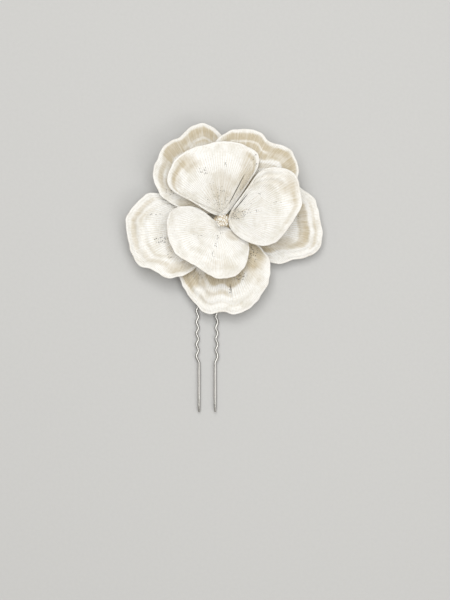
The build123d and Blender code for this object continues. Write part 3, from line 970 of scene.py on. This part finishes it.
def pick(*pieces):
    """Selects only these pieces, the first of them active."""
    bpy.ops.object.select_all(action="DESELECT")
    for piece in pieces:
        piece.select_set(True)
    bpy.context.view_layer.objects.active = pieces[0]


def open_mesh(piece):
    """Opens the piece's mesh for editing, with all of it selected."""
    pick(piece)
    bpy.ops.object.mode_set(mode="EDIT")
    bpy.ops.mesh.select_all(action="SELECT")


def close_mesh():
    bpy.ops.object.mode_set(mode="OBJECT")


def smooth(piece):
    pick(piece)
    bpy.ops.object.shade_smooth()


def settled():
    """The piece that has just been added, with its place and turn moved into its mesh."""
    piece = bpy.context.active_object
    pick(piece)
    bpy.ops.object.transform_apply(location=True, rotation=True, scale=True)
    return piece


def modify(piece, name, kind, **settings):
    """Applies a new modifier to the piece."""
    modifier = piece.modifiers.new(name, kind)
    for key, value in settings.items():
        setattr(modifier, key, value)
    pick(piece)
    bpy.ops.object.modifier_apply(modifier=modifier.name)


def ring(radius, centre, upright=False):
    """Thread or wire section, lying level or standing upright across Y."""
    bpy.ops.object.select_all(action="DESELECT")
    turn = (pi / 2, 0, 0) if upright else (0, 0, 0)
    bpy.ops.mesh.primitive_circle_add(vertices=SECTION_CORNERS, radius=radius * MM,
                                      location=scaled(centre), rotation=turn)
    return settled()


def join(pieces, name):
    pick(*pieces)
    if len(pieces) > 1:
        bpy.ops.object.join()
    piece = bpy.context.active_object
    piece.name = name
    piece.data.name = name
    return piece


def strand_sections(strand, strands, x=0.0, first_angle=0.0):
    """Level sections of strands that touch each other round a point on the X axis."""
    reach = strand if strands == 2 else 1.155 * strand
    sections = []
    for i in range(strands):
        angle = 2 * pi * i / strands + first_angle
        sections.append(ring(strand, (x + reach * cos(angle), reach * sin(angle), 0)))
    return join(sections, "strands")


def close_ends(piece):
    """Caps the open ends, turns all faces outwards and smooths the piece."""
    open_mesh(piece)
    bpy.ops.mesh.remove_doubles(threshold=WELD)
    bpy.ops.mesh.fill_holes(sides=0)
    bpy.ops.mesh.select_all(action="SELECT")
    bpy.ops.mesh.normals_make_consistent(inside=False)
    close_mesh()
    bpy.ops.object.shade_smooth_by_angle(angle=radians(50))
    return piece


def screwed(piece, turns, rise, steps):
    """Winds a section round the Z axis while it climbs by rise in all."""
    modify(piece, "Winding", "SCREW", angle=2 * pi * turns, screw_offset=rise * MM,
           steps=steps, render_steps=steps)
    return close_ends(piece)


def coil(thread, reach, turns, rise, steps=16):
    """Closed coil of thread or wire round the Z axis."""
    return screwed(ring(thread, (reach, 0, 0), upright=True), turns, rise, int(steps * turns))


def cord_length(strand, strands, length, lay):
    """Strands laid into a cord up the Z axis, one full turn for each lay."""
    turns = length / lay
    return screwed(strand_sections(strand, strands), turns, length, max(4, int(10 * turns)))


def spin_selected(angle, centre):
    """Bends the selected end round an axis along Y."""
    bpy.ops.mesh.spin(steps=5, angle=angle, center=scaled(centre), axis=(0, 1, 0))


def push_selected(*shift):
    bpy.ops.mesh.extrude_region_move(TRANSFORM_OT_translate={"value": scaled(shift)})


def bow(thread, width, height, corner, strands=1):
    """Thread staple on z = 0 across X: up one side, over and down the other."""
    left, right = -width / 2, width / 2
    if strands == 1:
        staple = ring(thread, (left, 0, 0))
    else:
        staple = strand_sections(thread, strands, left, pi / 2)
    open_mesh(staple)
    push_selected(0, 0, height - corner)
    spin_selected(pi / 2, (left + corner, 0, height - corner))
    push_selected(width - 2 * corner, 0, 0)
    spin_selected(pi / 2, (right - corner, 0, height - corner))
    push_selected(0, 0, corner - height)
    close_mesh()
    return close_ends(staple)


def copies(piece, matrices, name):
    """One piece made of a copy for each matrix. The first piece is used up."""
    twins = []
    for matrix in matrices:
        twin = piece.copy()
        twin.data = piece.data.copy()
        bpy.context.scene.collection.objects.link(twin)
        twin.data.transform(matrix)
        twins.append(twin)
    bpy.data.objects.remove(piece)
    return join(twins, name)


def placed(x, y, z):
    return Matrix.Translation(scaled((x, y, z)))


def turned(angle, axis):
    return Matrix.Rotation(angle, 4, axis)


def aimed(direction):
    """Rotation that points the Z axis along direction."""
    return direction.to_track_quat("Z", "Y").to_matrix().to_4x4()


class Step:
    """What every step of the making has in common."""

    bl_options = {"REGISTER", "UNDO"}

    def execute(self, context):
        self.make(context.scene)
        return {"FINISHED"}


class HAIRPIN_OT_petals(Step, bpy.types.Operator):
    """Embroiders the eight petals and their satin-stitched rims"""

    bl_idname = "hairpin.petals"
    bl_label = "Petals"

    def make(self, scene):
        work = scene.hairpin_threads
        cloth_finish = embroidered_cloth(work)
        rim_finish = satin_rim(work)
        for number, petal in enumerate(PETALS):
            cloth = petal_cloth(petal, work, number + 1)
            rim = petal_rim(petal, work, number + 1)
            body = f"{petal.name}_petal"
            give(cloth, body, "embroidered_cloth", cloth_finish, f"{petal.name}_panel")
            give(rim, body, "satin_stitch_edge", rim_finish, f"{petal.name}_edge")
            outline = smooth_outline(petal.outline)


class HAIRPIN_OT_petal_wires(Step, bpy.types.Operator):
    """Twists each petal's wire ends into a stalk with an eye"""

    bl_idname = "hairpin.petal_wires"
    bl_label = "Petal Wires"

    def make(self, scene):
        wrapped = spun_thread("wrapped_wire", WRAPPED_WIRE, 1100.0)
        for petal in PETALS:
            turn = petal.turn
            eye = eye_point(petal)
            end_x = eye.x + STALK_REACH * cos(turn)
            end_y = eye.y + STALK_REACH * sin(turn)
            end = Vector((end_x, end_y, float(cloth_height(petal, end_x, end_y)) - 0.1))
            run = end - eye
            stalk = cord_length(PETAL_WIRE, 2, run.length - EYE_REACH, 2.2)
            stalk.data.transform(placed(*(eye + run.normalized() * EYE_REACH)) @ aimed(run))
            loop = coil(PETAL_WIRE, 0.64, 3, 1.0)
            axis = aimed(Vector((sin(turn), -cos(turn), 0)))
            loop.data.transform(placed(*eye) @ axis @ placed(0, 0, -0.5))
            wire = join([stalk, loop], f"{petal.name}_wire")
            give(wire, f"{petal.name}_petal", "wrapped_wire", wrapped, f"{petal.name}_stalk")


class HAIRPIN_OT_tack_loops(Step, bpy.types.Operator):
    """Sews the wire eyes down with thread loops"""

    bl_idname = "hairpin.tack_loops"
    bl_label = "Tack Loops"

    def make(self, scene):
        finish = thread_finish(scene.hairpin_threads)
        for group, ground in (("outer", FELT_TOP), ("inner", PAD_TOP)):
            petals = [petal for petal in PETALS if petal.name.startswith(group)]
            height = petals[0].eye_z - ground
            loop = bow(0.155, 2 * TACK_POST_OFFSET, height + 0.4, 0.35, strands=3)
            places = []
            for petal in petals:
                eye = eye_point(petal)
                across = turned(radians(petal.azimuth + 90), "Z")
                places.append(placed(eye.x, eye.y, ground - 0.4) @ across)
            sewn = copies(loop, places, f"{group}_tacking")
            give(sewn, "back", "sewing_thread", finish, f"{group}_tack_loops")


def felt_from(nodes, name, voxel):
    """Felt piece grown from plain CAD layers: softened, matted and slightly uneven."""
    parts = []
    for node in nodes:
        part = frame["nodes"][node].copy()
        part.data = frame["nodes"][node].data.copy()
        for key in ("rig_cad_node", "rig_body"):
            if key in part:
                del part[key]
        part.parent = None
        part.matrix_world = Matrix.Identity(4)
        bpy.context.scene.collection.objects.link(part)
        parts.append(part)
    piece = join(parts, name)
    open_mesh(piece)
    bpy.ops.mesh.remove_doubles(threshold=WELD)
    close_mesh()
    modify(piece, "Matting", "REMESH", mode="VOXEL", voxel_size=voxel * MM)
    modify(piece, "Soft Edges", "SMOOTH", factor=0.5, iterations=3)
    tufts = bpy.data.textures.new("felt_tufts", "CLOUDS")
    tufts.noise_scale = 0.0016
    tufts.noise_depth = 2
    modify(piece, "Uneven", "DISPLACE", texture=tufts, texture_coords="LOCAL",
           strength=0.00022, mid_level=0.5)
    return piece


def sewn_angles():
    """Directions of the whip stitches, left out where the prongs leave the felt."""
    exits = []
    for side in (-1, 1):
        exit_x = PIN_CENTRE_X + side * BEND_RADIUS
        exits.append(Vector((exit_x, -((BACK_RADIUS**2 - exit_x**2)**0.5))))
    angles = []
    for i in range(RIM_STITCHES):
        angle = 2 * pi * i / RIM_STITCHES
        spot = Vector((BACK_RADIUS * cos(angle), BACK_RADIUS * sin(angle)))
        if all((spot - leg_exit).length > 2.5 for leg_exit in exits):
            angles.append(angle)
    return angles


def pull_in(piece, depth):
    """Draws the felt's rim in under each whip stitch."""
    mesh = piece.data
    flat = np.empty(len(mesh.vertices) * 3)
    mesh.vertices.foreach_get("co", flat)
    spots = flat.reshape(-1, 3)
    reach = np.hypot(spots[:, 0], spots[:, 1]) / MM
    angle = np.arctan2(spots[:, 1], spots[:, 0])
    pull = np.zeros(len(spots))
    for stitch in sewn_angles():
        off = (angle - stitch + pi) % (2 * pi) - pi
        pull = np.maximum(pull, np.exp(-(off * BACK_RADIUS / 0.45)**2))
    pull *= smooth_step((reach - 14.6) / 2.2)
    spots[:, :2] *= (1 - depth * pull / np.maximum(reach, 1.0))[:, None]
    middle = FELT_TOP / 2 * MM
    spots[:, 2] = middle + (spots[:, 2] - middle) * (1 - 0.1 * pull)
    mesh.vertices.foreach_set("co", spots.ravel())
    mesh.update()


class HAIRPIN_OT_felt_back(Step, bpy.types.Operator):
    """Builds up the felt back and whips its rim"""

    bl_idname = "hairpin.felt_back"
    bl_label = "Felt Back"

    def make(self, scene):
        work = scene.hairpin_threads
        felt = wool_felt("wool_felt", work.felt)
        disc_area = pi * BACK_RADIUS**2 * MM**2
        layers = [
            ("felt_backing", ["backing_felt"], disc_area, []),
            ("felt_channel", ["channel_felt", "felt_tongue"], 0.928 * disc_area, ["felt_backing"]),
            ("felt_foundation", ["foundation_disc"], disc_area, ["felt_channel"]),
        ]
        for name, nodes, area, below in layers:
            layer = felt_from(nodes, name, 0.36)
            pull_in(layer, 0.32)
            smooth(layer)
            give(layer, "back", "wool_felt", felt, *nodes)

        stitch = bow(0.17, FELT_TOP + 0.16, 1.9, 0.45)
        stitch.data.transform(turned(pi / 2, "Y"))
        hold = placed(BACK_RADIUS - 1.78, 0, FELT_TOP / 2) @ turned(radians(7), "X")
        places = [turned(angle, "Z") @ hold for angle in sewn_angles()]
        whipped = copies(stitch, places, "whip_stitches")
        give(whipped, "back", "sewing_thread", thread_finish(work), "rim_stitches")


class HAIRPIN_OT_centre(Step, bpy.types.Operator):
    """Makes the middle of the flower: pad, stem and French knots"""

    bl_idname = "hairpin.centre"
    bl_label = "Centre Knots"

    def make(self, scene):
        self.add_pad()
        stem = cord_length(0.28, 3, KNOTS_BOTTOM - PAD_TOP + 0.6, 2.6)
        stem.data.transform(placed(0, 0, PAD_TOP - 0.2))
        stem.name = "stem_cord"
        give(stem, "back", "sewing_thread", thread_finish(scene.hairpin_threads), "centre_stem")
        self.add_knots()

    def add_pad(self):
        """Stuffed pad with a waist, ribs and a rounded top edge."""
        pad = felt_from(["centre_pad"], "stuffed_pad", 0.3)
        for vertex in pad.data.vertices:
            place = vertex.co / MM
            reach = hypot(place.x, place.y)
            level = (place.z - FELT_TOP) / (PAD_TOP - FELT_TOP)
            waist = 1 - 0.05 * cos(2 * pi * level) - 0.04
            ribs = 1 + 0.02 * cos(16 * atan2(place.y, place.x)) * sin(pi * min(max(level, 0), 1))
            vertex.co.x *= waist * ribs
            vertex.co.y *= waist * ribs
            if level > 0.9:
                vertex.co.z -= 0.25 * MM * (reach / PAD_RADIUS)**2
        smooth(pad)
        # The pad's darker tan felt is partly painted shade: it shows as warm shade in the crevices
        give(pad, "back", "wool_felt", wool_felt("pad_felt", PAD_FELT_CREVICE_SHADE), "centre_pad")

    def add_knots(self):
        """Rings of French knots over a darker bed of thread, painted shade in the gaps between them."""
        chance = random.Random(11)
        wrap = coil(0.14, 0.27, 2, 0.3, steps=10)
        bpy.ops.object.select_all(action="DESELECT")
        bpy.ops.mesh.primitive_uv_sphere_add(segments=10, ring_count=6, radius=0.26 * MM,
                                             location=(0, 0, 0.3 * MM))
        bead = settled()
        bead.data.transform(Matrix.Diagonal((1, 1, 0.8, 1)))
        bpy.ops.object.shade_smooth()
        knot = join([wrap, bead], "knot")
        places = []
        for count, reach, height in KNOT_RINGS:
            for i in range(count):
                angle = 2 * pi * i / count + reach
                x = reach * cos(angle) + chance.uniform(-0.22, 0.22)
                y = reach * sin(angle) + chance.uniform(-0.22, 0.22)
                spin = turned(chance.uniform(0, 2 * pi), "Z")
                size = Matrix.Scale(chance.uniform(0.8, 1.25), 4)
                level = KNOTS_BOTTOM + height + chance.uniform(-0.12, 0.12)
                places.append(placed(x, y, level) @ aimed(Vector((x, y, 4.0))) @ spin @ size)
        cluster = copies(knot, places, "french_knots")
        # Darker bed under the knots: painted shade in the gaps between them
        bed = felt_from(["centre_knots"], "knot_bed", 0.25)
        bed.data.transform(placed(0, 0, KNOTS_BOTTOM) @ Matrix.Diagonal((0.9, 0.9, 0.5, 1))
                           @ placed(0, 0, -KNOTS_BOTTOM))
        smooth(bed)
        give(bed, "back", "sewing_thread", spun_thread("knot_bed", KNOT_BED_PAINTED_SHADE, PLY_SCALE))
        knot_finish = spun_thread("knot_thread", KNOT_THREAD, 1900.0)
        give(cluster, "back", "sewing_thread", knot_finish, "centre_knots")


class HAIRPIN_OT_pin(Step, bpy.types.Operator):
    """Finishes the steel pin and binds it to the felt"""

    bl_idname = "hairpin.pin"
    bl_label = "Pin"

    def make(self, scene):
        steel = drawn_steel(scene.hairpin_metal)
        for node in ("pin_bend", "pin_leg_left", "pin_leg_right"):
            wire = frame["nodes"][node]
            wire.data.materials.clear()
            wire.data.materials.append(steel)
        winding = coil(0.125, WIRE_RADIUS + 0.13, 5, 2.5)
        places = []
        for side in (-1, 1):
            start = placed(PIN_CENTRE_X + side * BEND_RADIUS, BEND_CENTRE_Y - 0.1, PIN_Z)
            places.append(start @ turned(pi / 2, "X"))
        binding = copies(winding, places, "bend_binding")
        finish = thread_finish(scene.hairpin_threads)
        give(binding, "back", "sewing_thread", finish, "pin_binding")


class HAIRPIN_OT_stage(Step, bpy.types.Operator):
    """Sets out the floor, the lights and the camera"""

    bl_idname = "hairpin.stage"
    bl_label = "Stage"

    def make(self, scene):
        studio = scene.hairpin_studio
        bpy.ops.object.select_all(action="DESELECT")
        bpy.ops.mesh.primitive_plane_add(size=6.0, location=(0, 0, -0.0004))
        ground = bpy.context.active_object
        ground.name = "floor"
        finish = Finish("floor_paper", Roughness=0.9)
        grain = finish.noise(finish.place(), 700.0, 3.0)
        ground.data.materials.append(finish.feed(
            Base_Color=finish.blend(grain, rgba(studio.floor), rgba(studio.floor, 0.94))))

        world = bpy.data.worlds.new("studio_air")
        world.use_nodes = True
        background = world.node_tree.nodes["Background"]
        background.inputs["Color"].default_value = rgba(AIR_COLOUR)
        background.inputs["Strength"].default_value = 0.33
        scene.world = world

        self.lamp("front_light", (0.0, 0.12, 1.0), 0.75, studio.front_power, (0.975, 0.992, 1.0))
        self.lamp("key_light", (-0.1, 0.46, 0.88), 0.3, studio.key_power, (1, 0.985, 0.96))
        self.lamp("fill_light", (0.42, -0.34, 0.82), 0.4, studio.fill_power, (1, 0.99, 0.97))

        distance = studio.view_length * LENS / SENSOR_WIDTH
        place = Vector((0.0011, -0.0356, 0.0165 + distance))
        bpy.ops.object.camera_add(location=place, rotation=(0, 0, 0))
        camera = bpy.context.active_object
        camera.name = "camera"
        camera.data.lens = LENS
        camera.data.clip_start = 0.01
        camera.data.clip_end = 20
        scene.camera = camera
        scene.view_settings.view_transform = "Standard"

    def lamp(self, name, place, size, power, colour):
        """Soft square light aimed at the flower."""
        bpy.ops.object.light_add(type="AREA", location=place)
        light = bpy.context.active_object
        light.name = name
        light.data.shape = "SQUARE"
        light.data.size = size
        light.data.energy = power
        light.data.color = colour
        aim = Vector((0, -0.01, 0.01)) - Vector(place)
        light.rotation_euler = aim.to_track_quat("-Z", "Y").to_euler()


STEPS = (
    HAIRPIN_OT_petals,
    HAIRPIN_OT_petal_wires,
    HAIRPIN_OT_tack_loops,
    HAIRPIN_OT_felt_back,
    HAIRPIN_OT_centre,
    HAIRPIN_OT_pin,
    HAIRPIN_OT_stage,
)


class HAIRPIN_PT_panel(bpy.types.Panel):
    """Lists the steps that make the hairpin"""

    bl_idname = "HAIRPIN_PT_panel"
    bl_label = "Flower Hairpin"
    bl_space_type = "VIEW_3D"
    bl_region_type = "UI"
    bl_category = "Hairpin"

    def draw(self, context):
        layout = self.layout
        for step in STEPS:
            layout.operator(step.bl_idname)
        for group in (context.scene.hairpin_threads, context.scene.hairpin_metal,
                      context.scene.hairpin_studio):
            box = layout.box()
            for key in group.__annotations__:
                box.prop(group, key)


CLASSES = (ThreadWork, PinMetal, Studio, *STEPS, HAIRPIN_PT_panel)


def register():
    for cls in CLASSES:
        bpy.utils.register_class(cls)
    bpy.types.Scene.hairpin_threads = PointerProperty(type=ThreadWork)
    bpy.types.Scene.hairpin_metal = PointerProperty(type=PinMetal)
    bpy.types.Scene.hairpin_studio = PointerProperty(type=Studio)


def unregister():
    del bpy.types.Scene.hairpin_studio
    del bpy.types.Scene.hairpin_metal
    del bpy.types.Scene.hairpin_threads
    for cls in reversed(CLASSES):
        bpy.utils.unregister_class(cls)


def main():
    """Makes every piece in order."""
    register()
    bpy.ops.hairpin.petals()
    bpy.ops.hairpin.petal_wires()
    bpy.ops.hairpin.tack_loops()
    bpy.ops.hairpin.felt_back()
    bpy.ops.hairpin.centre()
    bpy.ops.hairpin.pin()
    bpy.ops.hairpin.stage()


if __name__ == "__main__":
    main()
